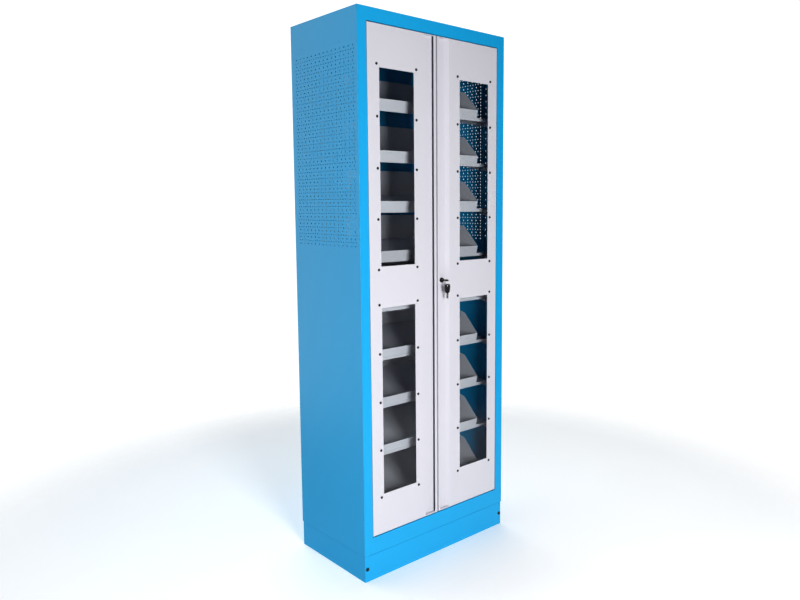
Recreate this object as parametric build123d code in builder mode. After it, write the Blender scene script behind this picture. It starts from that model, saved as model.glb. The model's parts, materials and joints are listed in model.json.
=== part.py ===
from build123d import *
import math
import os

# A tall two-door cabinet for small parts, in millimetres: +Z up, +X to the right seen from
# the front, +Y to the back. The origin is the centre of the bottom of its whole box.
# "Depth" below is the distance back from the cabinet's front face.

# the cabinet
WIDTH = 700
DEPTH = 400
HEIGHT = 1950
PLINTH_HEIGHT = 94
PLINTH_INSET = 2
PLINTH_SHEET = 1.5
PLINTH_FOLD = 22
SEAM = 2
SEAM_DEPTH = 8
PLUG_X = 338
PLUG_Z = 46
BOLT_RADIUS = 4
BOLT_HOLE = 4.3
STILE = 36.5
TOP_RAIL = 44.5
BOTTOM_RAIL = 60
SHEET = 1.2
EDGE_ROUND = 1

# the keys stand out in front of the doors, and the origin is the centre of the box with them
KEY_REACH = 32
FRONT = KEY_REACH - (DEPTH + KEY_REACH) / 2

HALF = WIDTH / 2
INNER = HALF - SHEET
ROOF = HEIGHT - SHEET
BACK = DEPTH - SHEET
OPEN_X = HALF - STILE
OPEN_TOP = HEIGHT - TOP_RAIL
OPEN_BOTTOM = PLINTH_HEIGHT + BOTTOM_RAIL
STILE_DEPTH = 30
RAIL_DEPTH = 45

# round holes in the upper part of both side walls: open rows and dense rows take turns
HOLES_BOTTOM = 1174
ROW_PITCH = 24.2
OPEN_ROWS = 28
OPEN_HOLES = 15
DENSE_HOLES = 25
DENSE_PITCH = ROW_PITCH * 0.6
OPEN_RADIUS = 2.6
DENSE_RADIUS = 2.2
HOLES_CENTRE = 195

# nine sloping shelves with a tray on each
LEVELS = 9
LEVEL_PITCH = 175
LOWEST_SHELF = 234
SHELF_FRONT = 68.5
TILT = 12
SHELF_SHEET = 1
SHELF_RUN = 316
SHELF_LIP = 12
SHELF_FLANGE = 20
STRIP_WIDTH = 20
STRIP_DEPTH = 5
STRIP_PLACES = (105, 350)
STRIP_BOTTOM = 190
STRIP_TOP = 1865
RIVET_HEIGHTS = (204, 1850)
TRAY_HALF = 270
TRAY_RUN = 310
TRAY_SIDE = 99
TRAY_LIP = 40
TRAY_RISE = 88
GRIP_FRONT = 108
GRIP_LENGTH = 90
GRIP_HEIGHT = 38
GRIP_MIDDLE = 78
GRIP_ROUND = 12

# the doors
GAP_SIDE = 2.5
GAP_TOP = 2.5
GAP_BOTTOM = 3
DOOR_DEPTH = 26
DOOR_ROUND = 2
LEFT_EDGE = -5.8
RIGHT_EDGE = 0
DOOR_OUTER = OPEN_X - GAP_SIDE
DOOR_TOP = OPEN_TOP - GAP_TOP
DOOR_BOTTOM = OPEN_BOTTOM + GAP_BOTTOM
WINDOW_INNER = 111
WINDOW_OUTER = 262
WINDOWS = ((300.5, 960.5), (1103, 1763))
WINDOW_ROUND = 2
PANE = 3
PANE_MARGIN = 18
SCREW_OFFSET = 11
SCREW_ROWS = 5
RECESS_DEPTH = 11.5
RECESS_RANGE = (DOOR_BOTTOM + 5, DOOR_TOP - 3.5)
LEFT_RECESS = ((-67, -18), (-67, -18))
RIGHT_RECESS = ((8, 58), (8, 45.4))
HINGE_X = DOOR_OUTER - 12
HINGE_DEPTH = 7
HINGE_RADIUS = 4
HINGE_PLAY = 0.06
BUSH_RADIUS = 5.5

# the lock
LOCK_X = 27
LOCK_Z = 1035
PLUG_RADIUS = 5.8
PLUG_PLAY = 0.05
PLUG_FRONT = 5.7
COLLAR_RADIUS = 9
COLLAR_FRONT = 6.5
BODY_RADIUS = 7.6
NUT_DEPTH = 4
CAM_FRONT = 28.5
CAM_SHEET = 3
TONGUE = 44
TONGUE_HALF = 7
SQUARE_HALF = 4
PIN_CIRCLE = 14
PIN_RADIUS = 3
PIN_PLAY = 0.7
YOKE_FRONT = 33
ROD_RADIUS = 4
ROD_DEPTH = 37
ROD_PLAY = 0.08
ROD_OFFSET = 12

# the keys
RING_RADIUS = 10
RING_WIRE = 0.9
BLADE_SHEET = 2.4
BLADE_WIDTH = 8.2
BLADE_PLAY = 0.2
BLADE_ROOT = 9
BLADE_END = 24.5
BOW_SHEET = 4.4
BOW_ROUND = 0.6
BOW_BACK = 4.5
BOW_LENGTH = 23
BOW_WIDTH = 26
HOLE_RADIUS = 3.9
SPARE_LENGTH = 33
SPARE_WIDE = 14
SPARE_NARROW = 6
SPARE_BLADE = 20

PIN_SIDE = PIN_CIRCLE / math.sqrt(2)
SINE = math.sin(math.radians(TILT))
COSINE = math.cos(math.radians(TILT))


def save(piece, name):
    """Labels a finished piece and writes it to its own file."""
    piece.part.label = name
    export_step(piece.part, f"parts/{name}.step")


def slab(x, depth, z, mode=Mode.ADD):
    """A box over three (low, high) ranges."""
    with Locations((sum(x) / 2, FRONT + sum(depth) / 2, sum(z) / 2)):
        Box(x[1] - x[0], depth[1] - depth[0], z[1] - z[0], mode=mode)


def pin(x, depth, z, radius, mode=Mode.ADD):
    """A cylinder along the one direction that is given as a (low, high) range."""
    place = [x, depth, z]
    along = [isinstance(value, tuple) for value in place].index(True)
    low, high = place[along]
    place[along] = (low + high) / 2
    turn = ((0, 90, 0), (90, 0, 0), (0, 0, 0))[along]
    with Locations((place[0], FRONT + place[1], place[2])):
        Cylinder(radius, high - low, rotation=turn, mode=mode)


def both(low, high):
    """The same range on the left and on the right of the middle."""
    return (-high, -low), (low, high)


def hole_field():
    """The outlines of one side wall's holes, about the middle of the field."""
    outlines = []
    for pitch, count, rows, radius in (
        (ROW_PITCH, OPEN_HOLES, OPEN_ROWS, OPEN_RADIUS),
        (DENSE_PITCH, DENSE_HOLES, OPEN_ROWS - 1, DENSE_RADIUS),
    ):
        for spot in GridLocations(pitch, ROW_PITCH, count, rows):
            outlines.append(Wire.make_circle(radius).moved(spot))
    return outlines


def side_wall(side):
    """A side wall with its field of holes and a flange behind; side is -1 or 1."""
    outer = sorted((side * HALF, side * INNER))
    flange = sorted((side * INNER, side * (INNER - 15)))
    middle = HOLES_BOTTOM + ROW_PITCH * (OPEN_ROWS - 1) / 2
    shift = Location((HOLES_CENTRE - DEPTH / 2, middle - (PLINTH_HEIGHT + ROOF) / 2, 0))
    sheet = Wire.make_rect(DEPTH - 2 * SHEET, ROOF - PLINTH_HEIGHT)
    holes = [outline.moved(shift) for outline in hole_field()]
    with BuildPart() as wall:
        with BuildSketch(Plane.YZ.offset(outer[0])):
            with Locations((FRONT + DEPTH / 2, (PLINTH_HEIGHT + ROOF) / 2)):
                add(Face(sheet, holes))
        extrude(amount=SHEET)
        slab(flange, (BACK - SHEET, BACK), (PLINTH_HEIGHT + SHEET, ROOF))
        for depth in STRIP_PLACES:
            for height in RIVET_HEIGHTS:
                pin(tuple(outer), depth, height, 2, Mode.SUBTRACT)
    return wall


def stile(side):
    """The upright of the front frame: a face, a return into the cabinet and a lip behind."""
    with BuildPart() as upright:
        slab(sorted((side * HALF, side * OPEN_X)), (0, SHEET), (PLINTH_HEIGHT, ROOF))
        outside = edges().filter_by(Axis.Z).group_by(Axis.Y)[0].sort_by(Axis.X)
        fillet(outside[0] if side < 0 else outside[-1], EDGE_ROUND)
        inner_return = sorted((side * OPEN_X, side * (OPEN_X + SHEET)))
        slab(inner_return, (SHEET, STILE_DEPTH), (PLINTH_HEIGHT + SHEET, ROOF))
        lip = sorted((side * (OPEN_X + SHEET), side * (OPEN_X + 15)))
        slab(lip, (STILE_DEPTH - SHEET, STILE_DEPTH), (PLINTH_HEIGHT + SHEET, ROOF))
    return upright


def plinth_bolt_places():
    """Where the four plinth bolts stand, as x and depth."""
    return [(x, depth) for x in (-333, 333) for depth in (17, DEPTH - 17)]


def hinge_places():
    """Where the four door pins stand: x, and the header or sill that holds them."""
    return [(side * HINGE_X, top) for side in (-1, 1) for top in (True, False)]


def shelf_plane(level):
    """The sloping plane of a shelf: X across, Y up the slope to the back, Z square to it."""
    height = LOWEST_SHELF + level * LEVEL_PITCH
    return Plane(origin=(0, FRONT + SHELF_FRONT, height), x_dir=(1, 0, 0), z_dir=(0, -SINE, COSINE))


def leaf(x, run, up, mode=Mode.ADD):
    """A box in a shelf's own plane, over three (low, high) ranges."""
    with Locations((sum(x) / 2, sum(run) / 2, sum(up) / 2)):
        Box(x[1] - x[0], run[1] - run[0], up[1] - up[0], mode=mode)


def shelf_screw_places():
    """Depth and height above a shelf's front edge of the screws in its side flanges."""
    drop = SHELF_FLANGE / 2 / COSINE
    return [(depth, (depth - SHELF_FRONT) * SINE / COSINE - drop) for depth in STRIP_PLACES]


def make_shelf(level):
    """A sloping shelf: a floor, a lip that stops the tray, and flanges to the uprights."""
    wide = INNER - STRIP_DEPTH
    height = LOWEST_SHELF + level * LEVEL_PITCH
    with BuildPart(shelf_plane(level)) as shelf:
        leaf((-wide, wide), (0, SHELF_RUN), (0, SHELF_SHEET))
        leaf((-wide, wide), (0, SHELF_SHEET), (0, SHELF_LIP))
        leaf((-wide, wide), (SHELF_RUN - SHELF_SHEET, SHELF_RUN), (0, SHELF_LIP))
        for side in both(wide - SHELF_SHEET, wide):
            leaf(side, (8, SHELF_RUN - 8), (-SHELF_FLANGE, 0))
    with BuildPart() as drilled:
        add(shelf.part)
        for depth, rise in shelf_screw_places():
            for side in both(wide - 3, wide + 1):
                pin(side, depth, height + rise, 2.6, Mode.SUBTRACT)
    return drilled


def make_tray(level):
    """An open tray: a low front lip, sides that rise from it and have a hole to grip, and a back."""
    floor = SHELF_SHEET
    front = SHELF_SHEET
    back = front + TRAY_RUN
    top = floor + TRAY_SIDE
    lip = floor + TRAY_LIP
    plane = shelf_plane(level)
    profile = Plane(origin=plane.origin, x_dir=plane.y_dir, z_dir=plane.x_dir)
    slope = [(front - 5, lip), (front, lip), (TRAY_RISE, top), (TRAY_RISE, top + 5), (front - 5, top + 5)]
    with BuildPart(plane) as tray:
        leaf((-TRAY_HALF, TRAY_HALF), (front, back), (floor, top))
        inner = TRAY_HALF - SHELF_SHEET
        inside = (front + SHELF_SHEET, back - SHELF_SHEET)
        leaf((-inner, inner), inside, (floor + SHELF_SHEET, top + 5), Mode.SUBTRACT)
        with BuildSketch(profile):
            Polygon(*slope, align=None)
            with Locations((GRIP_FRONT + GRIP_LENGTH / 2, GRIP_MIDDLE)):
                RectangleRounded(GRIP_LENGTH, GRIP_HEIGHT, GRIP_ROUND)
        extrude(amount=TRAY_HALF + 5, both=True, mode=Mode.SUBTRACT)
    return tray


def window_screws(side):
    """Places of the screws round one door's two windows."""
    columns = (side * (WINDOW_INNER - SCREW_OFFSET), side * (WINDOW_OUTER + SCREW_OFFSET))
    places = []
    for low, high in WINDOWS:
        pitch = (high - low + 2 * SCREW_OFFSET) / (SCREW_ROWS - 1)
        for row in range(SCREW_ROWS):
            height = low - SCREW_OFFSET + row * pitch
            places += [(x, FRONT, height) for x in columns]
    return places


def make_door(side, free_edge, recess):
    """A door pan with flanges, two windows and a recess pressed in near its free edge.
    The recess is given as its width in the front and its width at its floor."""
    ends = sorted((side * DOOR_OUTER, free_edge))
    inside = (ends[0] + SHEET, ends[1] - SHEET)
    window_middle = side * (WINDOW_INNER + WINDOW_OUTER) / 2
    with BuildPart() as door:
        slab(ends, (0, DOOR_DEPTH), (DOOR_BOTTOM, DOOR_TOP))
        fillet(faces().sort_by(Axis.Y)[0].edges(), DOOR_ROUND)
        slab(inside, (SHEET, DOOR_DEPTH + 1), (DOOR_BOTTOM + SHEET, DOOR_TOP - SHEET), Mode.SUBTRACT)
        with BuildSketch(Plane.XZ.offset(-FRONT)):
            for low, high in WINDOWS:
                with Locations((window_middle, (low + high) / 2)):
                    RectangleRounded(WINDOW_OUTER - WINDOW_INNER, high - low, WINDOW_ROUND)
        extrude(amount=SHEET * 2, both=True, mode=Mode.SUBTRACT)
        with Locations(*window_screws(side)):
            Cylinder(2.2, SHEET * 4, rotation=(90, 0, 0), mode=Mode.SUBTRACT)
        for flange in ((DOOR_BOTTOM, DOOR_BOTTOM + SHEET), (DOOR_TOP - SHEET, DOOR_TOP)):
            pin(side * HINGE_X, HINGE_DEPTH, flange, BUSH_RADIUS, Mode.SUBTRACT)
        middle = sum(RECESS_RANGE) / 2
        tall = RECESS_RANGE[1] - RECESS_RANGE[0]
        for grow, mode in ((SHEET, Mode.ADD), (0, Mode.SUBTRACT)):
            for (low, high), depth in zip(recess, (0, RECESS_DEPTH + grow)):
                with BuildSketch(Plane.XZ.offset(-FRONT - depth)):
                    with Locations(((low + high) / 2, middle)):
                        Rectangle(high - low + 2 * grow, tall + 2 * grow)
            loft(mode=mode)
        if side < 0:
            lip = recess[0][1]
            slab((lip - 1, lip + SHEET), (SHEET, RECESS_DEPTH), RECESS_RANGE, Mode.SUBTRACT)
        else:
            through = (RECESS_DEPTH - 1, RECESS_DEPTH + SHEET + 1)
            pin(LOCK_X, through, LOCK_Z, BODY_RADIUS + 0.1, Mode.SUBTRACT)
    return door


def make_screw(radius, head_radius, head, length, rounding, socket):
    """A screw along Y: its head with a hexagon socket in front of Y = 0, its shank behind."""
    with BuildPart() as screw:
        with Locations((0, -head / 2, 0)):
            Cylinder(head_radius, head, rotation=(90, 0, 0))
        fillet(edges().filter_by(GeomType.CIRCLE).sort_by(Axis.Y)[0], rounding)
        with BuildSketch(Plane.XZ.offset(head)):
            RegularPolygon(socket, 6)
        extrude(amount=-head * 0.6, mode=Mode.SUBTRACT)
        with Locations((0, length / 2, 0)):
            Cylinder(radius, length, rotation=(90, 0, 0))
    return screw


os.makedirs("parts", exist_ok=True)

# The shell

for name, side in (("side_panel_left", -1), ("side_panel_right", 1)):
    save(side_wall(side), name)

for name, side in (("stile_left", -1), ("stile_right", 1)):
    save(stile(side), name)

with BuildPart() as back_panel:
    slab((-HALF, HALF), (BACK, DEPTH), (PLINTH_HEIGHT, ROOF))
save(back_panel, "back_panel")

with BuildPart() as top_panel:
    slab((-HALF, HALF), (0, DEPTH), (ROOF, HEIGHT))
    fillet(edges().filter_by(Axis.X).group_by(Axis.Z)[-1].sort_by(Axis.Y)[0], EDGE_ROUND)
    for span in both(INNER - SHEET, INNER):
        slab(span, (SHEET + 20, BACK - 20), (ROOF - 15, ROOF))
save(top_panel, "top_panel")

with BuildPart() as bottom_panel:
    slab((-INNER, INNER), (SHEET, BACK), (PLINTH_HEIGHT, PLINTH_HEIGHT + SHEET))
    for span in both(INNER - SHEET, INNER):
        slab(span, (SHEET + 40, BACK - 20), (PLINTH_HEIGHT, PLINTH_HEIGHT + 15))
    for x, depth in plinth_bolt_places():
        pin(x, depth, (PLINTH_HEIGHT, PLINTH_HEIGHT + SHEET), BOLT_HOLE, Mode.SUBTRACT)
save(bottom_panel, "bottom_panel")

with BuildPart() as top_rail:
    slab((-OPEN_X, OPEN_X), (0, SHEET), (OPEN_TOP, ROOF))
    slab((-OPEN_X, OPEN_X), (SHEET, RAIL_DEPTH), (OPEN_TOP, OPEN_TOP + SHEET))
    slab((-OPEN_X, OPEN_X), (RAIL_DEPTH - SHEET, RAIL_DEPTH), (OPEN_TOP, OPEN_TOP + 15))
    for side in (-1, 1):
        pin(side * HINGE_X, HINGE_DEPTH, (OPEN_TOP, OPEN_TOP + SHEET), HINGE_RADIUS, Mode.SUBTRACT)
    pin(LOCK_X - ROD_OFFSET, ROD_DEPTH, (OPEN_TOP, OPEN_TOP + SHEET), ROD_RADIUS + 1, Mode.SUBTRACT)
save(top_rail, "top_rail")

with BuildPart() as bottom_rail:
    slab((-OPEN_X, OPEN_X), (0, SHEET), (PLINTH_HEIGHT, OPEN_BOTTOM))
    slab((-OPEN_X, OPEN_X), (SHEET, RAIL_DEPTH), (OPEN_BOTTOM - SHEET, OPEN_BOTTOM))
    slab((-OPEN_X, OPEN_X), (RAIL_DEPTH - SHEET, RAIL_DEPTH), (OPEN_BOTTOM - 15, OPEN_BOTTOM))
    sill = (OPEN_BOTTOM - SHEET, OPEN_BOTTOM)
    for side in (-1, 1):
        pin(side * HINGE_X, HINGE_DEPTH, sill, HINGE_RADIUS, Mode.SUBTRACT)
    pin(LOCK_X + ROD_OFFSET, ROD_DEPTH, sill, ROD_RADIUS + 1, Mode.SUBTRACT)
save(bottom_rail, "bottom_rail")

# Four angles behind the doors' corners stop the doors level with the frame.
with BuildPart() as door_stops:
    for span in both(60, 275):
        slab(span, (DOOR_DEPTH + 0.5, DOOR_DEPTH + 0.5 + SHEET), (OPEN_TOP - 16, OPEN_TOP))
        slab(span, (DOOR_DEPTH + 0.5, DOOR_DEPTH + 8), (OPEN_TOP - SHEET, OPEN_TOP))
        slab(span, (DOOR_DEPTH + 0.5, DOOR_DEPTH + 0.5 + SHEET), (OPEN_BOTTOM, OPEN_BOTTOM + 16))
        slab(span, (DOOR_DEPTH + 0.5, DOOR_DEPTH + 8), (OPEN_BOTTOM, OPEN_BOTTOM + SHEET))
save(door_stops, "door_stops")

# The plinth is one folded and welded ring, open below and above. A narrower frame on its top
# carries the shell, so that a seam is left round the outside.
plinth_skin = PLINTH_HEIGHT - SEAM
with BuildPart() as plinth:
    for inset, span, mode in (
        (0, (0, plinth_skin), Mode.ADD),
        (SEAM_DEPTH, (plinth_skin, PLINTH_HEIGHT), Mode.ADD),
        (PLINTH_SHEET, (PLINTH_SHEET, plinth_skin - PLINTH_SHEET), Mode.SUBTRACT),
        (PLINTH_FOLD, (-1, PLINTH_HEIGHT + 1), Mode.SUBTRACT),
    ):
        half = HALF - PLINTH_INSET - inset
        slab((-half, half), (PLINTH_INSET + inset, DEPTH - PLINTH_INSET - inset), span, mode)
    fillet(edges().filter_by(Axis.Z).group_by(Axis.Y)[0], EDGE_ROUND)
    for x in (-PLUG_X, PLUG_X):
        pin(x, (0, 5), PLUG_Z, 5.2, Mode.SUBTRACT)
    for x, depth in plinth_bolt_places():
        pin(x, depth, (plinth_skin - 2, PLINTH_HEIGHT + 1), BOLT_HOLE, Mode.SUBTRACT)
save(plinth, "plinth")

with BuildPart() as plinth_plugs:
    for x in (-PLUG_X, PLUG_X):
        pin(x, (0, PLINTH_INSET), PLUG_Z, 6.75)
        pin(x, (PLINTH_INSET, PLINTH_INSET + 6), PLUG_Z, 5)
    fillet(edges().filter_by(GeomType.CIRCLE).group_by(Axis.Y)[0], 1)
save(plinth_plugs, "plinth_plugs")

with BuildPart() as plinth_bolts:
    floor = PLINTH_HEIGHT + SHEET
    nut_top = plinth_skin - PLINTH_SHEET
    for x, depth in plinth_bolt_places():
        pin(x, depth, (nut_top - 12, floor), BOLT_RADIUS)
        pin(x, depth, (floor, floor + 5), 6.5)
    with BuildSketch(Plane.XY.offset(nut_top - 6.5)):
        with Locations(*[(x, FRONT + depth) for x, depth in plinth_bolt_places()]):
            RegularPolygon(7, 6)
    extrude(amount=6.5)
save(plinth_bolts, "plinth_bolts")

# The shelf uprights: folded strips on the side walls, riveted on from outside.
with BuildPart() as shelf_strips:
    for span in both(INNER - STRIP_DEPTH, INNER):
        for depth in STRIP_PLACES:
            across = (depth - STRIP_WIDTH / 2, depth + STRIP_WIDTH / 2)
            slab(span, across, (STRIP_BOTTOM, STRIP_TOP))
    for span in both(INNER - STRIP_DEPTH + SHEET, INNER + 1):
        for depth in STRIP_PLACES:
            across = (depth - STRIP_WIDTH / 2 + SHEET, depth + STRIP_WIDTH / 2 - SHEET)
            slab(span, across, (STRIP_BOTTOM - 1, STRIP_TOP + 1), Mode.SUBTRACT)
    for span in both(INNER - STRIP_DEPTH - 1, INNER):
        for depth in STRIP_PLACES:
            for height in RIVET_HEIGHTS:
                pin(span, depth, height, 2, Mode.SUBTRACT)
        for depth, rise in shelf_screw_places():
            for level in range(LEVELS):
                height = LOWEST_SHELF + level * LEVEL_PITCH + rise
                pin(span, depth, height, 2.6, Mode.SUBTRACT)
save(shelf_strips, "shelf_strips")

RIVET_HEAD = 0.6
with BuildPart() as wall_rivets:
    for side in (-1, 1):
        for depth in STRIP_PLACES:
            for height in RIVET_HEIGHTS:
                stem = sorted((side * HALF, side * (INNER - STRIP_DEPTH)))
                head = sorted((side * HALF, side * (HALF + RIVET_HEAD)))
                bulb = sorted((side * (INNER - STRIP_DEPTH), side * (INNER - STRIP_DEPTH - 2)))
                pin(tuple(stem), depth, height, 2)
                pin(tuple(head), depth, height, 3.6)
                pin(tuple(bulb), depth, height, 3.2)
save(wall_rivets, "wall_rivets")

with BuildPart() as shelf_screws:
    inside = INNER - STRIP_DEPTH - SHELF_SHEET
    for level in range(LEVELS):
        for depth, rise in shelf_screw_places():
            height = LOWEST_SHELF + level * LEVEL_PITCH + rise
            for head, shank in zip(both(inside - 2.5, inside), both(inside, inside + 4.5)):
                pin(head, depth, height, 4.2)
                pin(shank, depth, height, 2.5)
save(shelf_screws, "shelf_screws")

for level in range(LEVELS):
    save(make_shelf(level), f"shelf_{level + 1}")
    save(make_tray(level), f"tray_{level + 1}")

# The doors. Fingers in the left one's recess hook behind its lip, where the recess is open,
# and the right one has the lock in its recess.
save(make_door(-1, LEFT_EDGE, LEFT_RECESS), "left_door")
save(make_door(1, RIGHT_EDGE, RIGHT_RECESS), "right_door")

for side, sign in (("left", -1), ("right", 1)):
    for place, (low, high) in zip(("lower", "upper"), WINDOWS):
        with BuildPart() as pane:
            inner = sign * (WINDOW_INNER - PANE_MARGIN)
            outer = sign * (WINDOW_OUTER + PANE_MARGIN)
            sheet = (SHEET, SHEET + PANE)
            slab(sorted((inner, outer)), sheet, (low - PANE_MARGIN, high + PANE_MARGIN))
            fillet(edges().filter_by(Axis.Y), 4)
            spots = [spot for spot in window_screws(sign) if low - 20 < spot[2] < high + 20]
            with Locations(*spots):
                Cylinder(2.2, 20, rotation=(90, 0, 0), mode=Mode.SUBTRACT)
        save(pane, f"pane_{side}_{place}")

    screw = make_screw(2, 4.5, 2.4, 9.4, 1.6, 1.45)
    with BuildPart() as pane_screws:
        with Locations(*window_screws(sign)):
            add(screw.part)
    save(pane_screws, f"pane_screws_{side}")

    with BuildPart() as pane_nuts:
        nut_back = FRONT + SHEET + PANE + 3.2
        with BuildSketch(Plane.XZ.offset(-nut_back)):
            with Locations(*[(x, z) for x, _, z in window_screws(sign)]):
                RegularPolygon(4, 6)
                Circle(2, mode=Mode.SUBTRACT)
        extrude(amount=3.2)
    save(pane_nuts, f"pane_nuts_{side}")

with BuildPart() as hinge_pins:
    for x, top in hinge_places():
        if top:
            pin(x, HINGE_DEPTH, (DOOR_TOP - 9, OPEN_TOP + SHEET), HINGE_RADIUS)
            pin(x, HINGE_DEPTH, (OPEN_TOP + SHEET, OPEN_TOP + SHEET + 2), BUSH_RADIUS)
        else:
            pin(x, HINGE_DEPTH, (OPEN_BOTTOM - SHEET, DOOR_BOTTOM + 9), HINGE_RADIUS)
            pin(x, HINGE_DEPTH, (OPEN_BOTTOM - SHEET - 2, OPEN_BOTTOM - SHEET), BUSH_RADIUS)
save(hinge_pins, "hinge_pins")

for side, sign in (("left", -1), ("right", 1)):
    with BuildPart() as hinge_bushes:
        x = sign * HINGE_X
        pin(x, HINGE_DEPTH, (DOOR_TOP - 7, DOOR_TOP), BUSH_RADIUS)
        pin(x, HINGE_DEPTH, (DOOR_TOP, DOOR_TOP + 1.8), BUSH_RADIUS + 1)
        pin(x, HINGE_DEPTH, (DOOR_BOTTOM, DOOR_BOTTOM + 7), BUSH_RADIUS)
        pin(x, HINGE_DEPTH, (OPEN_BOTTOM + 0.1, DOOR_BOTTOM), BUSH_RADIUS + 1)
        for span in ((DOOR_TOP - 8, DOOR_TOP + 3), (OPEN_BOTTOM, DOOR_BOTTOM + 8)):
            pin(x, HINGE_DEPTH, span, HINGE_RADIUS + HINGE_PLAY, Mode.SUBTRACT)
    save(hinge_bushes, f"hinge_bushes_{side}")

# The lock: a cylinder in the right door turns a cam with a tongue, which catches behind the
# left door, and two pins, which move the locking rods.
with BuildPart() as lock_body:
    pin(LOCK_X, (COLLAR_FRONT, RECESS_DEPTH), LOCK_Z, COLLAR_RADIUS)
    fillet(edges().filter_by(GeomType.CIRCLE).sort_by(Axis.Y)[0], 1.2)
    pin(LOCK_X, (RECESS_DEPTH, CAM_FRONT - 1), LOCK_Z, BODY_RADIUS)
    pin(LOCK_X, (COLLAR_FRONT - 1, CAM_FRONT), LOCK_Z, PLUG_RADIUS + PLUG_PLAY, Mode.SUBTRACT)
save(lock_body, "lock_body")

nut_back = FRONT + RECESS_DEPTH + SHEET + NUT_DEPTH
with BuildPart() as lock_nut:
    with BuildSketch(Plane.XZ.offset(-nut_back)):
        with Locations((LOCK_X, LOCK_Z)):
            RegularPolygon(11.5, 6)
            Circle(BODY_RADIUS, mode=Mode.SUBTRACT)
    extrude(amount=NUT_DEPTH)
save(lock_nut, "lock_nut")

cam_back = CAM_FRONT + CAM_SHEET
plug_back = CAM_FRONT - 0.3
keyway_end = BLADE_END + 0.5
screw_front = keyway_end + 0.5
with BuildPart() as lock_plug:
    pin(LOCK_X, (PLUG_FRONT, plug_back), LOCK_Z, PLUG_RADIUS)
    square = (LOCK_X - SQUARE_HALF, LOCK_X + SQUARE_HALF)
    square_z = (LOCK_Z - SQUARE_HALF, LOCK_Z + SQUARE_HALF)
    slab(square, (plug_back, cam_back), square_z)
    pin(LOCK_X, (screw_front, cam_back), LOCK_Z, 2, Mode.SUBTRACT)
    way = BLADE_WIDTH / 2 + BLADE_PLAY
    tall = BLADE_SHEET / 2 + BLADE_PLAY
    keyway = (PLUG_FRONT - 1, keyway_end)
    slab((LOCK_X - way, LOCK_X + way), keyway, (LOCK_Z - tall, LOCK_Z + tall), Mode.SUBTRACT)
save(lock_plug, "lock_plug")

with BuildPart() as lock_cam:
    cam = (CAM_FRONT, cam_back)
    pin(LOCK_X, cam, LOCK_Z, PIN_CIRCLE + 3.5)
    slab((LOCK_X - TONGUE_HALF, LOCK_X + TONGUE_HALF), cam, (LOCK_Z - TONGUE, LOCK_Z))
    slab(square, cam, square_z, Mode.SUBTRACT)
    for sign in (-1, 1):
        reach = (cam_back, YOKE_FRONT + 3.6)
        pin(LOCK_X + sign * PIN_SIDE, reach, LOCK_Z + sign * PIN_SIDE, PIN_RADIUS)
save(lock_cam, "lock_cam")

with BuildPart() as cam_screw:
    pin(LOCK_X, (screw_front, cam_back), LOCK_Z, 2)
    pin(LOCK_X, (cam_back, cam_back + 2.5), LOCK_Z, 4)
save(cam_screw, "cam_screw")

# Each rod ends in a yoke, whose slot is open towards the lock and holds one cam pin.
for name, sign in (("upper_rod", -1), ("lower_rod", 1)):
    x = LOCK_X + sign * ROD_OFFSET
    slot_z = LOCK_Z + sign * PIN_SIDE
    slot_half = PIN_RADIUS + PIN_PLAY
    far_wall = LOCK_X + sign * (PIN_CIRCLE + PIN_RADIUS + 0.5)
    with BuildPart() as rod:
        tip = DOOR_TOP - 1 if sign < 0 else DOOR_BOTTOM + 1
        start = slot_z - sign * (slot_half + 0.8)
        pin(x, ROD_DEPTH, tuple(sorted((start, tip))), ROD_RADIUS)
        slab((x - 7, x + 7), (YOKE_FRONT, YOKE_FRONT + 3), (slot_z - 8, slot_z + 8))
        slot = sorted((far_wall, x - sign * 8))
        slab(slot, (YOKE_FRONT - 1, YOKE_FRONT + 9), (slot_z - slot_half, slot_z + slot_half), Mode.SUBTRACT)
    save(rod, name)

with BuildPart() as rod_guides:
    flange = RIGHT_EDGE + SHEET
    for sign, heights in ((-1, (1150, 1860)), (1, (190, 910))):
        x = LOCK_X + sign * ROD_OFFSET
        for height in heights:
            slab((flange, flange + 2), (8, ROD_DEPTH + 5), (height - 10, height + 10))
            slab((flange, x + 7), (ROD_DEPTH - 5.5, ROD_DEPTH + 5), (height, height + 2))
            pin(x, ROD_DEPTH, (height - 1, height + 3), ROD_RADIUS + ROD_PLAY, Mode.SUBTRACT)
save(rod_guides, "rod_guides")

# The key in the lock lies flat; the spare one hangs from it on a ring.
ring_depth = RING_RADIUS + RING_WIRE - KEY_REACH
ring_z = LOCK_Z - 6
hole_depth = ring_depth + 8
spare_hole_z = ring_z - RING_RADIUS + RING_WIRE + 0.5 - HOLE_RADIUS
half_blade = (LOCK_X - BLADE_WIDTH / 2, LOCK_X + BLADE_WIDTH / 2)

with BuildPart() as key_bow:
    with BuildSketch(Plane.XY.offset(LOCK_Z - BOW_SHEET / 2)):
        with Locations((LOCK_X, FRONT + BOW_BACK - BOW_LENGTH / 2)):
            RectangleRounded(BOW_WIDTH, BOW_LENGTH, 8)
        with Locations((LOCK_X, FRONT + hole_depth)):
            Circle(HOLE_RADIUS, mode=Mode.SUBTRACT)
    extrude(amount=BOW_SHEET)
    fillet(edges().filter_by(Plane.XY), BOW_ROUND)
    blade_z = (LOCK_Z - BLADE_SHEET / 2, LOCK_Z + BLADE_SHEET / 2)
    slab(half_blade, (BOW_BACK - BLADE_ROOT, BOW_BACK + 1), blade_z, Mode.SUBTRACT)
save(key_bow, "key_bow")

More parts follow.
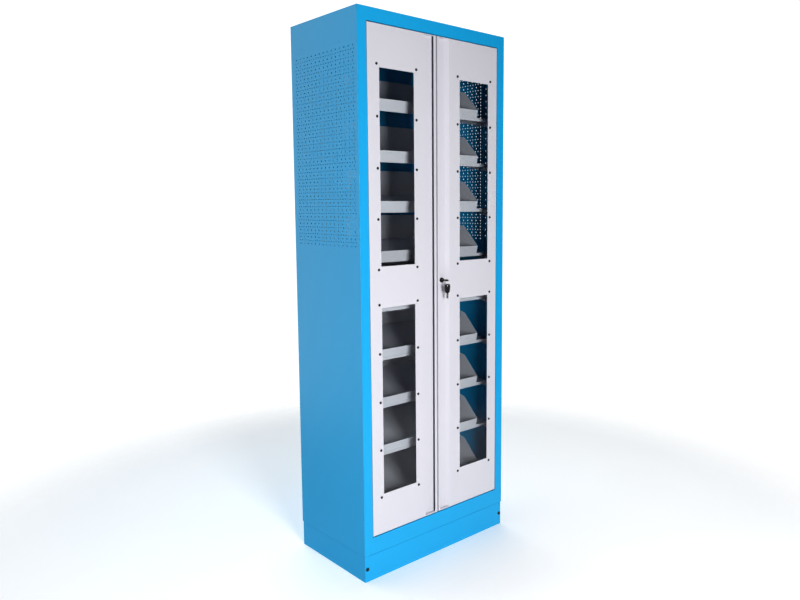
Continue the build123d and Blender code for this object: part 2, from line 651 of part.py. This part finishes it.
with BuildPart() as key_blade:
    slab(half_blade, (BOW_BACK - BLADE_ROOT, BLADE_END), blade_z)
    for step in range(4):
        with Locations((LOCK_X + BLADE_WIDTH / 2, FRONT + BOW_BACK + 6 + 4 * step, LOCK_Z)):
            Box(2, 2, BLADE_SHEET * 2, rotation=(0, 0, 45), mode=Mode.SUBTRACT)
save(key_blade, "key_blade")

with BuildPart() as key_ring:
    with Locations((LOCK_X, FRONT + ring_depth, ring_z)):
        Torus(RING_RADIUS, RING_WIRE, rotation=(0, 90, 0))
save(key_ring, "key_ring")

spare_top = spare_hole_z + 6.2
spare_bottom = spare_top - SPARE_LENGTH
spare_back = FRONT + ring_depth + BOW_SHEET / 2
spare_sheet = (ring_depth - BLADE_SHEET / 2, ring_depth + BLADE_SHEET / 2)
spare_root = spare_bottom + BLADE_ROOT

with BuildPart() as spare_key_bow:
    with BuildSketch(Plane.XZ.offset(-spare_back)):
        with Locations((LOCK_X, spare_top - SPARE_WIDE)):
            Circle(SPARE_WIDE)
        with Locations((LOCK_X, spare_bottom + SPARE_NARROW)):
            Circle(SPARE_NARROW)
        make_hull()
        with Locations((LOCK_X, spare_hole_z)):
            Circle(HOLE_RADIUS, mode=Mode.SUBTRACT)
    extrude(amount=BOW_SHEET)
    fillet(edges().filter_by(Plane.XZ), BOW_ROUND)
    slab(half_blade, spare_sheet, (spare_bottom - 1, spare_root), Mode.SUBTRACT)
save(spare_key_bow, "spare_key_bow")

with BuildPart() as spare_key_blade:
    slab(half_blade, spare_sheet, (spare_bottom - SPARE_BLADE, spare_root))
    for step in range(4):
        spot = spare_bottom - 5 - 4 * step
        with Locations((LOCK_X + BLADE_WIDTH / 2, FRONT + ring_depth, spot)):
            Box(2, BLADE_SHEET * 2, 2, rotation=(0, 45, 0), mode=Mode.SUBTRACT)
save(spare_key_blade, "spare_key_blade")
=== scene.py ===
# %% [markdown]
# A tray cabinet stands in a workshop and keeps small parts behind two locked doors. Its shell
# and doors are folded steel sheet with a baked powder paint, and its windows are clear plastic.
# The solids of all its pieces come ready made, in metres, so this lesson gives them their
# finishes, swaps the keys for finer ones, and sets up the floor, the light and the camera.

# %% Load the solids and measure them
import bmesh
import bpy
import json
import math
from mathutils import Matrix, Vector


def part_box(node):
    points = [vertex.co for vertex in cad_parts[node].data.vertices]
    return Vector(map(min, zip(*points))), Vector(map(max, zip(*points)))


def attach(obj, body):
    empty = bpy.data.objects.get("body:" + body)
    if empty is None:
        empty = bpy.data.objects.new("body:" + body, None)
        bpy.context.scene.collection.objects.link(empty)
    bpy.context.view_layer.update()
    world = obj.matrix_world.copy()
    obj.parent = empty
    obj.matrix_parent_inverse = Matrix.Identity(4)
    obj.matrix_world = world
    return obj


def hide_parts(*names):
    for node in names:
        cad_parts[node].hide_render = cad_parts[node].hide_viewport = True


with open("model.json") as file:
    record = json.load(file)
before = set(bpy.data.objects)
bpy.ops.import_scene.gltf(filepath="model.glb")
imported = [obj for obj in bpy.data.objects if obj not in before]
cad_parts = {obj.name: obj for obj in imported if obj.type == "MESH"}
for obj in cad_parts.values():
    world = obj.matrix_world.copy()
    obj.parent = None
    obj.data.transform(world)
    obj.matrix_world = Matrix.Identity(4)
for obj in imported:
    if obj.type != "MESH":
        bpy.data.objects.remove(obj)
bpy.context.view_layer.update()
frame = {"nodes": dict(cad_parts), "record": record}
nodes = frame["nodes"]
MM = 0.001

# %% [markdown]
# Every finish below is a small tree of shader nodes. Wiring sums by hand is slow to read, so
# one class stands for the value that leaves a socket and lets Python's own signs add the Math
# nodes. A second class holds a tree while it is made and adds any other node, and a third is
# such a tree for a material.


# %% A value that can be added and multiplied
class Signal:
    """The value that leaves a socket. Its operators add Math nodes to the same tree."""

    def __init__(self, wiring, socket):
        self.wiring = wiring
        self.socket = socket

    def maths(self, operation, first, second):
        settings = {"operation": operation}
        return self.wiring.node("ShaderNodeMath", settings, {0: first, 1: second})

    def __add__(self, other):
        return self.maths("ADD", self, other)

    __radd__ = __add__

    def __mul__(self, other):
        return self.maths("MULTIPLY", self, other)

    __rmul__ = __mul__

    def __pow__(self, other):
        return self.maths("POWER", self, other)


# %% A tree of nodes while it is made
def pick(sockets, name):
    """The socket of that number, or the one of that name that is in use."""
    if isinstance(name, int):
        return sockets[name]
    return next(socket for socket in sockets if socket.name == name and socket.enabled)


class Wiring:
    """The nodes of one material or world, empty at first."""

    def __init__(self, holder):
        self.holder = holder
        holder.use_nodes = True
        self.tree = holder.node_tree
        self.tree.nodes.clear()

    def node(self, kind, settings=None, inputs=None, output=0):
        """Adds a node, sets it up, wires it and returns one of its outputs, if it has any."""
        made = self.tree.nodes.new(kind)
        for name, value in (settings or {}).items():
            setattr(made, name, value)
        for name, value in (inputs or {}).items():
            if isinstance(value, Signal):
                self.tree.links.new(value.socket, pick(made.inputs, name))
            else:
                pick(made.inputs, name).default_value = value
        if made.outputs:
            return Signal(self, pick(made.outputs, output))

    def done(self, shader, kind="ShaderNodeOutputMaterial"):
        """Wires the last shader to the output and returns the finished material or world."""
        self.node(kind, inputs={"Surface": shader})
        print(self.holder.name, "has", len(self.tree.nodes), "nodes")
        return self.holder


# %% A material while it is made
class Finish(Wiring):
    """A material, with the few nodes that every finish needs."""

    def __init__(self, name):
        super().__init__(bpy.data.materials.new(name))

    def place(self):
        """The place on the object, in metres."""
        return self.node("ShaderNodeTexCoord", output="Object")

    def noise(self, where, scale, detail=2.0):
        """A cloudy pattern with about as many clouds to a metre as scale says."""
        inputs = {"Vector": where, "Scale": scale, "Detail": detail}
        return self.node("ShaderNodeTexNoise", inputs=inputs)

    def blend(self, share, first, second):
        """A colour between two others."""
        inputs = {"Factor": share, "A": first, "B": second}
        return self.node("ShaderNodeMix", {"data_type": "RGBA"}, inputs, "Result")

    def relief(self, height, depth, strength=1.0):
        """Small bumps, depth metres high, that only tilt the light."""
        inputs = {"Height": height, "Distance": depth, "Strength": strength}
        return self.node("ShaderNodeBump", inputs=inputs)

    def surface(self, **sockets):
        """Blender's general surface, with its sockets' names written as words with _."""
        inputs = {name.replace("_", " "): value for name, value in sockets.items()}
        return self.node("ShaderNodeBsdfPrincipled", inputs=inputs, output="BSDF")


# %% [markdown]
# Powder paint is sprayed on dry and melted in an oven, so it flows into a skin with a fine
# pebbled relief, like the peel of an orange, about two millimetres from bump to bump. It could
# be painted flat with a single roughness, but then the doors look like paper. Two noises of
# different size make the relief, and the larger one also varies the gloss. With a third one,
# whose clouds are half a metre wide, they vary the colour very slightly. The grey paint is more
# matt than the blue one.


# %% Powder paint
PEEL_SCALE = 520.0
GRAIN_SCALE = 2100.0
CLOUD_SCALE = 2.2
PEEL_DEPTH = 0.35 * MM


def powder_paint(name, dark, light, roughness):
    """Paint between two tones, with the roughness that it has in its smoothest places."""
    paint = Finish(name)
    where = paint.place()
    peel = paint.noise(where, PEEL_SCALE, 3.0)
    grain = paint.noise(where, GRAIN_SCALE, 2.0)
    cloud = paint.noise(where, CLOUD_SCALE, 3.0)
    tone = paint.blend(0.55 * cloud + 0.3 * grain + 0.15 * peel, dark, light)
    relief = paint.relief(0.7 * peel + 0.3 * grain, PEEL_DEPTH, 0.35)
    shader = paint.surface(Base_Color=tone, Roughness=roughness + 0.1 * peel, Normal=relief,
                           IOR=1.5)
    return paint.done(shader)


BLUE_DARK = (0.006, 0.368, 0.680, 1)
BLUE_LIGHT = (0.014, 0.412, 0.740, 1)
GREY_DARK = (0.585, 0.578, 0.625, 1)
GREY_LIGHT = (0.640, 0.632, 0.680, 1)
blue_paint = powder_paint("blue_powder_paint", BLUE_DARK, BLUE_LIGHT, 0.42)
grey_paint = powder_paint("grey_powder_paint", GREY_DARK, GREY_LIGHT, 0.60)

# %% [markdown]
# The windows are sheets of clear plastic, three millimetres thick. Real refraction would shut
# the light out of the cabinet, because light that bends can't be aimed at the trays inside. So
# a share of each ray passes straight through and the rest is mirrored. The share follows
# Schlick's rule, a twenty-fifth from straight ahead and all of it along the surface. A Fresnel
# node isn't used, because it takes the back of a sheet for the inside of a block, and there it
# mirrors everything from 42 degrees on. A slow wave in the sheet bends what it mirrors.


# %% Clear window plastic
MIRRORED_AHEAD = 0.04
WAVE_SCALE = 7.0
WAVE_DEPTH = 0.4 * MM
CLEAR_TINT = (0.965, 0.98, 0.98, 1)


def clear_plastic(name):
    """A sheet that lets most light straight through and mirrors the rest."""
    sheet = Finish(name)
    wave = sheet.relief(sheet.noise(sheet.place(), WAVE_SCALE, 1.0), WAVE_DEPTH)
    mirror = sheet.node("ShaderNodeBsdfGlossy", inputs={"Roughness": 0.05, "Normal": wave})
    through = sheet.node("ShaderNodeBsdfTransparent", inputs={"Color": CLEAR_TINT})
    slant = sheet.node("ShaderNodeLayerWeight", inputs={"Blend": 0.5}, output="Facing")
    share = MIRRORED_AHEAD + (1 - MIRRORED_AHEAD) * slant ** 5
    mixed = sheet.node("ShaderNodeMixShader", inputs={0: share, 1: through, 2: mirror})
    return sheet.done(mixed)


window_plastic = clear_plastic("clear_window_plastic")

# %% [markdown]
# Four small finishes are left. The fittings inside are zinc plated, which is a dull metal with
# cloudy patches. The keys' blades, their ring and the lock's plug are nickel plated and bright,
# with fine marks from polishing. The window screws and the lock's collar are blackened steel.
# The keys' bows, the hinge bushes and the plinth's plugs are black plastic with the grain of
# their mould.


# %% Metals and black parts
ZINC_DARK = (0.40, 0.40, 0.41, 1)
ZINC_LIGHT = (0.62, 0.62, 0.61, 1)
NICKEL_DARK = (0.52, 0.50, 0.47, 1)
NICKEL_LIGHT = (0.74, 0.72, 0.69, 1)
BLACK = (0.006, 0.006, 0.007, 1)


def zinc_plate(name):
    """Dull metal with cloudy patches."""
    zinc = Finish(name)
    where = zinc.place()
    patches = zinc.noise(where, 60.0, 4.0)
    tone = zinc.blend(patches, ZINC_DARK, ZINC_LIGHT)
    relief = zinc.relief(zinc.noise(where, 900.0), 0.1 * MM, 0.3)
    shader = zinc.surface(Base_Color=tone, Roughness=0.34 + 0.2 * patches, Metallic=1.0,
                          Normal=relief)
    return zinc.done(shader)


def nickel_plate(name):
    """Bright metal with fine marks that lie level, because the noise is squeezed along Z."""
    nickel = Finish(name)
    squeezed = {"Vector": nickel.place(), "Scale": (1.0, 1.0, 14.0)}
    marks = nickel.noise(nickel.node("ShaderNodeMapping", inputs=squeezed), 420.0, 3.0)
    tone = nickel.blend(marks, NICKEL_DARK, NICKEL_LIGHT)
    relief = nickel.relief(marks, 0.05 * MM, 0.3)
    shader = nickel.surface(Base_Color=tone, Roughness=0.18 + 0.2 * marks, Metallic=1.0,
                            Normal=relief)
    return nickel.done(shader)


def black_part(name, light, roughness, grain_scale):
    """Black with a grain. Its lightest spots are as light as that number says."""
    black = Finish(name)
    grain = black.noise(black.place(), grain_scale, 3.0)
    tone = black.blend(grain, BLACK, (light, light, light * 1.1, 1))
    relief = black.relief(grain, 0.12 * MM, 0.5)
    shader = black.surface(Base_Color=tone, Roughness=roughness + 0.12 * grain, Normal=relief,
                           IOR=1.5)
    return black.done(shader)


zinc = zinc_plate("zinc_plate")
nickel = nickel_plate("nickel_plate")
black_steel = black_part("blackened_steel", 0.022, 0.30, 1500.0)
black_plastic = black_part("black_moulded_plastic", 0.030, 0.42, 1100.0)

# %% [markdown]
# Each solid names the finish that it has in the record, so one table of names is enough to
# dress all of them. The solids keep their own meshes: only what is on them changes.

# %% Dress the solids
FINISHES = {
    "blue_paint": blue_paint,
    "grey_paint": grey_paint,
    "clear_sheet": window_plastic,
    "black_steel": black_steel,
    "black_plastic": black_plastic,
    "zinc_steel": zinc,
    "nickel": nickel,
}


def dress(piece, finish):
    """Puts one finish on every face of a piece."""
    if not piece.material_slots:
        piece.data.materials.append(finish)
    for holder in piece.material_slots:
        holder.material = finish


for entry in frame["record"]["subparts"]:
    dress(nodes[entry["node"]], FINISHES[entry["material_slot"]])

# %% [markdown]
# The two keys hang in the middle of the picture, so they are modelled again with more care. A
# bow is a moulded plate: a rounded outline with a hole near its end, soft edges, and three
# grooves across it that give the fingers a grip. Both loops, the outline and the hole, have the
# same number of points, so that one bridge between them makes the plate. It is then thickened,
# its edges are rounded, and cuts across it mark the strips that an inset sinks in.

# %% Sizes of the keys, taken from the solids
bow_low, bow_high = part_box("key_bow")
spare_low, spare_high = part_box("spare_key_bow")
blade_low, blade_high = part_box("key_blade")
spare_blade_low, spare_blade_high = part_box("spare_key_blade")
ring_low, ring_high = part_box("key_ring")
bow_size = bow_high - bow_low
spare_size = spare_high - spare_low
blade_size = blade_high - blade_low
spare_blade_size = spare_blade_high - spare_blade_low
for label, size in (("lock key", bow_size), ("spare key", spare_size)):
    print("the bow of the", label, "measures", [round(side / MM, 1) for side in size], "mm")


# %% A moulded bow
HOLE_RADIUS = 3.9 * MM
ROUND_STEPS = 8
LOOP_POINTS = 4 * (ROUND_STEPS + 1)
SOFT_EDGE = 0.6 * MM
GROOVE_PLACES = (-0.36, -0.25, -0.14)
HALF_GROOVE = 0.9 * MM
GROOVE_DEPTH = 0.4 * MM


def everything_in(shape):
    return shape.verts[:] + shape.edges[:] + shape.faces[:]


def moulded_bow(name, width, length, thickness, hole_from_end, blade_end_width, rounds):
    """A bow that lies flat about the origin, with its hole towards +Y. Its other end, where the
    blade is, has a width of its own. The two radii round the corners there and at the hole."""
    shape = bmesh.new()
    bmesh.ops.create_grid(shape, x_segments=1, y_segments=1, size=0.5)
    bmesh.ops.scale(shape, vec=(width, length, 1), verts=shape.verts)
    blade_end = [corner for corner in shape.verts if corner.co.y < 0]
    hole_end = [corner for corner in shape.verts if corner.co.y > 0]
    bmesh.ops.scale(shape, vec=(blade_end_width / width, 1, 1), verts=blade_end)
    for corners, rounding in zip((blade_end, hole_end), rounds):
        bmesh.ops.bevel(shape, geom=corners, offset=rounding, segments=ROUND_STEPS, profile=0.5,
                        affect="VERTICES", material=-1)
    bmesh.ops.delete(shape, geom=shape.faces[:], context="FACES_ONLY")
    hole_centre = Matrix.Translation((0, length / 2 - hole_from_end, 0))
    hole = hole_centre @ Matrix.Rotation(math.pi / 4, 4, "Z")
    bmesh.ops.create_circle(shape, segments=LOOP_POINTS, radius=HOLE_RADIUS, matrix=hole)
    plate = bmesh.ops.bridge_loops(shape, edges=shape.edges[:])["faces"]
    raised = bmesh.ops.extrude_face_region(shape, geom=plate)["geom"]
    corners = [part for part in raised if isinstance(part, bmesh.types.BMVert)]
    bmesh.ops.translate(shape, vec=(0, 0, thickness), verts=corners)
    bmesh.ops.translate(shape, vec=(0, 0, -thickness / 2), verts=shape.verts)
    bmesh.ops.recalc_face_normals(shape, faces=shape.faces)
    rims = [edge for edge in shape.edges if edge.calc_face_angle(0) > 1]
    bmesh.ops.bevel(shape, geom=rims, offset=SOFT_EDGE, segments=3, profile=0.5,
                    affect="EDGES", material=-1)
    for groove in GROOVE_PLACES:
        for edge in (-HALF_GROOVE, HALF_GROOVE):
            bmesh.ops.bisect_plane(shape, geom=everything_in(shape), plane_no=(0, 1, 0),
                                   plane_co=(0, groove * length + edge, 0))
        for way in (-1, 1):
            strip = [
                face for face in shape.faces
                if face.normal.z * way > 0.999
                and abs(face.calc_center_median().y - groove * length) < HALF_GROOVE
            ]
            bmesh.ops.inset_region(shape, faces=strip, thickness=0.3 * MM, depth=-GROOVE_DEPTH)
    mesh = bpy.data.meshes.new(name)
    shape.to_mesh(mesh)
    shape.free()
    mesh.shade_smooth()
    mesh.set_sharp_from_angle(angle=math.radians(32))
    return mesh


# %% Place the two bows
def put(mesh, place, body, finish, node):
    """Makes an object of a mesh, moves the mesh to its place and ties it to its body."""
    mesh.transform(place)
    piece = bpy.data.objects.new(mesh.name, mesh)
    bpy.context.scene.collection.objects.link(piece)
    dress(piece, finish)
    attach(piece, body)
    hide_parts(node)
    print(piece.name, "has", len(mesh.polygons), "faces and replaces", node)


def middle(low, high):
    """The move that takes the origin to the middle of a box."""
    return Matrix.Translation((low + high) / 2)


half_turn = Matrix.Rotation(math.pi, 4, "Z")
upright = Matrix.Rotation(math.pi / 2, 4, "X")

LOCK_HOLE_FROM_END = 5.4 * MM
LOCK_ROUNDS = (8 * MM, 8 * MM)
lock_bow = moulded_bow("moulded_key_bow", bow_size.x, bow_size.y, bow_size.z,
                       LOCK_HOLE_FROM_END, bow_size.x, LOCK_ROUNDS)
put(lock_bow, middle(bow_low, bow_high) @ half_turn, "key",
    black_plastic, "key_bow")

SPARE_HOLE_FROM_END = 6.2 * MM
SPARE_BLADE_END_WIDTH = 19 * MM
SPARE_ROUNDS = (6 * MM, 11 * MM)
spare_bow = moulded_bow("moulded_spare_bow", spare_size.x, spare_size.z, spare_size.y,
                        SPARE_HOLE_FROM_END, SPARE_BLADE_END_WIDTH, SPARE_ROUNDS)
put(spare_bow, middle(spare_low, spare_high) @ upright, "spare_key",
    black_plastic, "spare_key_bow")

# %% [markdown]
# A blade is stamped from sheet, milled with a groove down each side, and then cut to its code
# along one edge. It starts as a stretched cube. Cuts across it give the rings of points that
# are pushed in for the teeth, and two cuts along it mark the strip that sinks into a groove.


# %% A cut and grooved blade
TEETH = (0.6 * MM, 1.5 * MM, 0.9 * MM, 1.8 * MM, 0.3 * MM, 1.2 * MM)
TOOTH_STEP = 2 * MM
PLAIN_TIP = 1.5 * MM
MILLED_STRIP = (-0.16, 0.06)
MILLED_DEPTH = 0.45 * MM
MILLED_SLOPE = 0.12 * MM
TIP_SHARE = (0.72, 1, 0.7)


def cut_blade(name, width, length, thickness):
    """A blade that lies flat about the origin, with its tip towards -Y and its teeth at +X."""
    shape = bmesh.new()
    bmesh.ops.create_cube(shape, size=1)
    bmesh.ops.scale(shape, vec=(width, length, thickness), verts=shape.verts)
    half_step = TOOTH_STEP / 2
    tip = -length / 2
    for number in range(2 * len(TEETH) + 1):
        place = (0, tip + PLAIN_TIP + number * half_step, 0)
        bmesh.ops.bisect_plane(shape, geom=everything_in(shape), plane_co=place,
                               plane_no=(0, 1, 0))
    for number, depth in enumerate(TEETH):
        low = tip + PLAIN_TIP + (2 * number + 0.5) * half_step
        valley = [v for v in shape.verts if v.co.x > 0 and low < v.co.y < low + half_step]
        bmesh.ops.translate(shape, vec=(-depth, 0, 0), verts=valley)
    strip_from, strip_to = (share * width for share in MILLED_STRIP)
    for side in (strip_from, strip_to):
        bmesh.ops.bisect_plane(shape, geom=everything_in(shape), plane_co=(side, 0, 0),
                               plane_no=(1, 0, 0))
    for way in (-1, 1):
        strip = [
            face for face in shape.faces
            if face.normal.z * way > 0.9 and strip_from < face.calc_center_median().x < strip_to
        ]
        bmesh.ops.inset_region(shape, faces=strip, thickness=MILLED_SLOPE, depth=-MILLED_DEPTH)
    point = [v for v in shape.verts if v.co.y < tip + 0.1 * MM]
    bmesh.ops.scale(shape, vec=TIP_SHARE, verts=point)
    bmesh.ops.recalc_face_normals(shape, faces=shape.faces)
    mesh = bpy.data.meshes.new(name)
    shape.to_mesh(mesh)
    shape.free()
    return mesh


lock_blade = cut_blade("cut_key_blade", blade_size.x, blade_size.y, blade_size.z)
put(lock_blade, middle(blade_low, blade_high) @ half_turn, "key",
    nickel, "key_blade")
spare_blade = cut_blade("cut_spare_blade", spare_blade_size.x, spare_blade_size.z,
                        spare_blade_size.y)
put(spare_blade, middle(spare_blade_low, spare_blade_high) @ upright, "spare_key",
    nickel, "spare_key_blade")

# %% [markdown]
# A key ring is a flat spring wire wound twice round, so that a key can be slid between its
# turns. A spin that also moves sideways at each step winds such a coil out of one small loop.


# %% A ring of two turns
STEPS_IN_A_TURN = 64
HALF_WIRE_HEIGHT = 0.55 * MM
HALF_WIRE_WIDTH = 0.33 * MM
TURNS = 2


def split_ring(name, radius, half_height, half_width, turns):
    """Winds a coil about the X axis, out of a wire that is taller than it is wide."""
    shape = bmesh.new()
    start = Matrix.Translation((0, radius, 0)) @ Matrix.Diagonal((half_width, half_height, 1, 1))
    bmesh.ops.create_circle(shape, segments=10, radius=1, matrix=start)
    steps = STEPS_IN_A_TURN * turns
    sideways = 2.1 * half_width / STEPS_IN_A_TURN
    bmesh.ops.spin(shape, geom=shape.verts[:] + shape.edges[:], cent=(0, 0, 0), axis=(1, 0, 0),
                   dvec=(sideways, 0, 0), angle=2 * math.pi * turns, steps=steps,
                   use_merge=False)
    ends = [edge for edge in shape.edges if len(edge.link_faces) == 1]
    bmesh.ops.holes_fill(shape, edges=ends, sides=0)
    bmesh.ops.translate(shape, vec=(-sideways * steps / 2, 0, 0), verts=shape.verts)
    bmesh.ops.recalc_face_normals(shape, faces=shape.faces)
    mesh = bpy.data.meshes.new(name)
    shape.to_mesh(mesh)
    shape.free()
    mesh.shade_smooth()
    mesh.set_sharp_from_angle(angle=math.radians(60))
    return mesh


ring_size = ring_high - ring_low
ring_radius = (ring_size.y - ring_size.x) / 2
ring_coil = split_ring("wound_key_ring", ring_radius, HALF_WIRE_HEIGHT, HALF_WIRE_WIDTH, TURNS)
put(ring_coil, middle(ring_low, ring_high), "spare_key", nickel, "key_ring")

# %% [markdown]
# The cabinet stands on a pale floor in an empty white space. A plane that runs to the horizon
# would show a grey line behind the cabinet. A disc whose rim fades out lets the white world
# take over instead, and it still catches the soft shadow at the plinth. The floor glows a
# little, as an overexposed studio floor does. The photograph's lower windows mirror a mottled
# grey floor that isn't in the picture itself, so a ray that comes from a mirror meets a darker
# floor than the camera does.

# %% Floor
FLOOR_RADIUS = 3.5
FADE_STARTS, FADE_ENDS = 1.5, 2.4
FLOOR_GLOW = 0.2


def grey(level, blue=0.0):
    """A grey with a little more blue, where that is asked for."""
    return (level, level, level + blue, 1)


floor_shape = bmesh.new()
bmesh.ops.create_circle(floor_shape, cap_ends=True, segments=96, radius=FLOOR_RADIUS)
floor_mesh = bpy.data.meshes.new("floor")
floor_shape.to_mesh(floor_mesh)
floor_shape.free()
floor = bpy.data.objects.new("floor", floor_mesh)
bpy.context.scene.collection.objects.link(floor)

pale = Finish("pale_floor")
centre = pale.place()
far = pale.node("ShaderNodeVectorMath", {"operation": "LENGTH"}, {0: centre}, "Value")
fade = pale.node("ShaderNodeMapRange", {"interpolation_type": "SMOOTHSTEP"},
                 {"Value": far, "From Min": FADE_STARTS, "From Max": FADE_ENDS})
cloud = pale.noise(centre, 3.0, 4.0)
in_glass = pale.blend(cloud, grey(0.16, 0.01), grey(0.42, 0.01))
in_view = pale.blend(cloud, grey(0.90), grey(0.95))
mirrored = pale.node("ShaderNodeLightPath", output="Is Glossy Ray")
matt = pale.surface(Base_Color=pale.blend(mirrored, in_view, in_glass), Roughness=0.75,
                    Emission_Color=grey(1), Emission_Strength=FLOOR_GLOW)
nothing = pale.node("ShaderNodeBsdfTransparent")
dress(floor, pale.done(pale.node("ShaderNodeMixShader", inputs={0: fade, 1: matt, 2: nothing})))

# %% [markdown]
# In a studio the backdrop is white and the room beside the camera is dark. The backdrop lights
# the side wall and is mirrored in it, and the windows mirror the dark room, so they stay clear.
# The world does the same: bright behind the cabinet and dim in front of it. Where the camera
# looks straight at it, it is plain white on every side.

# %% World
ROOM_LIGHT = 0.02
BACKDROP_LIGHT = 2.0
BACKDROP_STARTS, BACKDROP_FULL = -0.2, 0.95
DAYLIGHT = (0.93, 0.97, 1, 1)
bpy.context.scene.world = bpy.data.worlds.new("studio")
studio = Wiring(bpy.context.scene.world)
direction = studio.node("ShaderNodeTexCoord", output="Generated")
depth = studio.node("ShaderNodeSeparateXYZ", inputs={0: direction}, output="Y")
behind = studio.node("ShaderNodeMapRange", {"interpolation_type": "SMOOTHSTEP"},
                     {"Value": depth, "From Min": BACKDROP_STARTS, "From Max": BACKDROP_FULL})
strength = ROOM_LIGHT + BACKDROP_LIGHT * behind ** 2
room = studio.node("ShaderNodeBackground", inputs={"Color": DAYLIGHT, "Strength": strength})
white = studio.node("ShaderNodeBackground", inputs={"Color": grey(1)})
seen = studio.node("ShaderNodeLightPath", output="Is Camera Ray")
sky = studio.node("ShaderNodeMixShader", inputs={0: seen, 1: room, 2: white})
studio.done(sky, "ShaderNodeOutputWorld")

# %% [markdown]
# Two soft lamps are enough. The main one hangs in front, to the left and a little above the
# lock, so it reaches under the shelves and puts a soft shadow beside the keys. The other is as
# wide as a ceiling, hangs overhead and lights the floor, which throws some of it back up.


# %% Lamps
def lamp(name, side, power, place, aim):
    """A soft square lamp that the camera can't see. Its power is in watts."""
    data = bpy.data.lights.new(name, "AREA")
    data.shape = "SQUARE"
    data.size = side
    data.energy = power
    holder = bpy.data.objects.new(name, data)
    bpy.context.scene.collection.objects.link(holder)
    holder.location = place
    holder.rotation_euler = (Vector(aim) - Vector(place)).to_track_quat("-Z", "Y").to_euler()
    holder.visible_camera = False
    print(name, power, "W at", place)


lamp("main_lamp", 0.9, 82, (-1.0, -2.9, 1.15), (0, -0.18, 1.05))
lamp("overhead_lamp", 5.0, 45, (0, -0.3, 4.6), (0, -0.3, 0))

# %% [markdown]
# The photograph was taken from the left at the height of a standing person's chest, with a lens
# that makes the cabinet's upright edges lean only a little. The lens is shifted slightly,
# because the cabinet doesn't stand in the middle of the picture. The contrast is strong, so
# the plain Standard view gets a gamma below one, which darkens the shadows more than the light
# parts, and a little more exposure makes up for it.

# %% Camera and look
LENS = 31.94
LENS_SHIFT = (-0.0375, -0.02125)
CAMERA_PLACE = (-1.7528, -2.0776, 1.3087)
TURN = 42.133
PITCH = 6.232
ROLL = -0.265
GAMMA = 0.8
EXPOSURE = 0.16
camera_data = bpy.data.cameras.new("camera")
camera_data.lens = LENS
camera_data.sensor_width = 36
camera_data.shift_x, camera_data.shift_y = LENS_SHIFT
camera_data.clip_end = 100
camera = bpy.data.objects.new("camera", camera_data)
bpy.context.scene.collection.objects.link(camera)
turned = Matrix.Rotation(-math.radians(TURN), 4, "Z")
tipped = Matrix.Rotation(math.radians(90 - PITCH), 4, "X")
rolled = Matrix.Rotation(math.radians(ROLL), 4, "Z")
camera.matrix_world = Matrix.Translation(CAMERA_PLACE) @ turned @ tipped @ rolled
bpy.context.scene.camera = camera
look = bpy.context.scene.view_settings
look.view_transform = "Standard"
look.gamma = GAMMA
look.exposure = EXPOSURE
print("camera at", CAMERA_PLACE, "with a lens of", LENS, "mm, gamma", GAMMA)
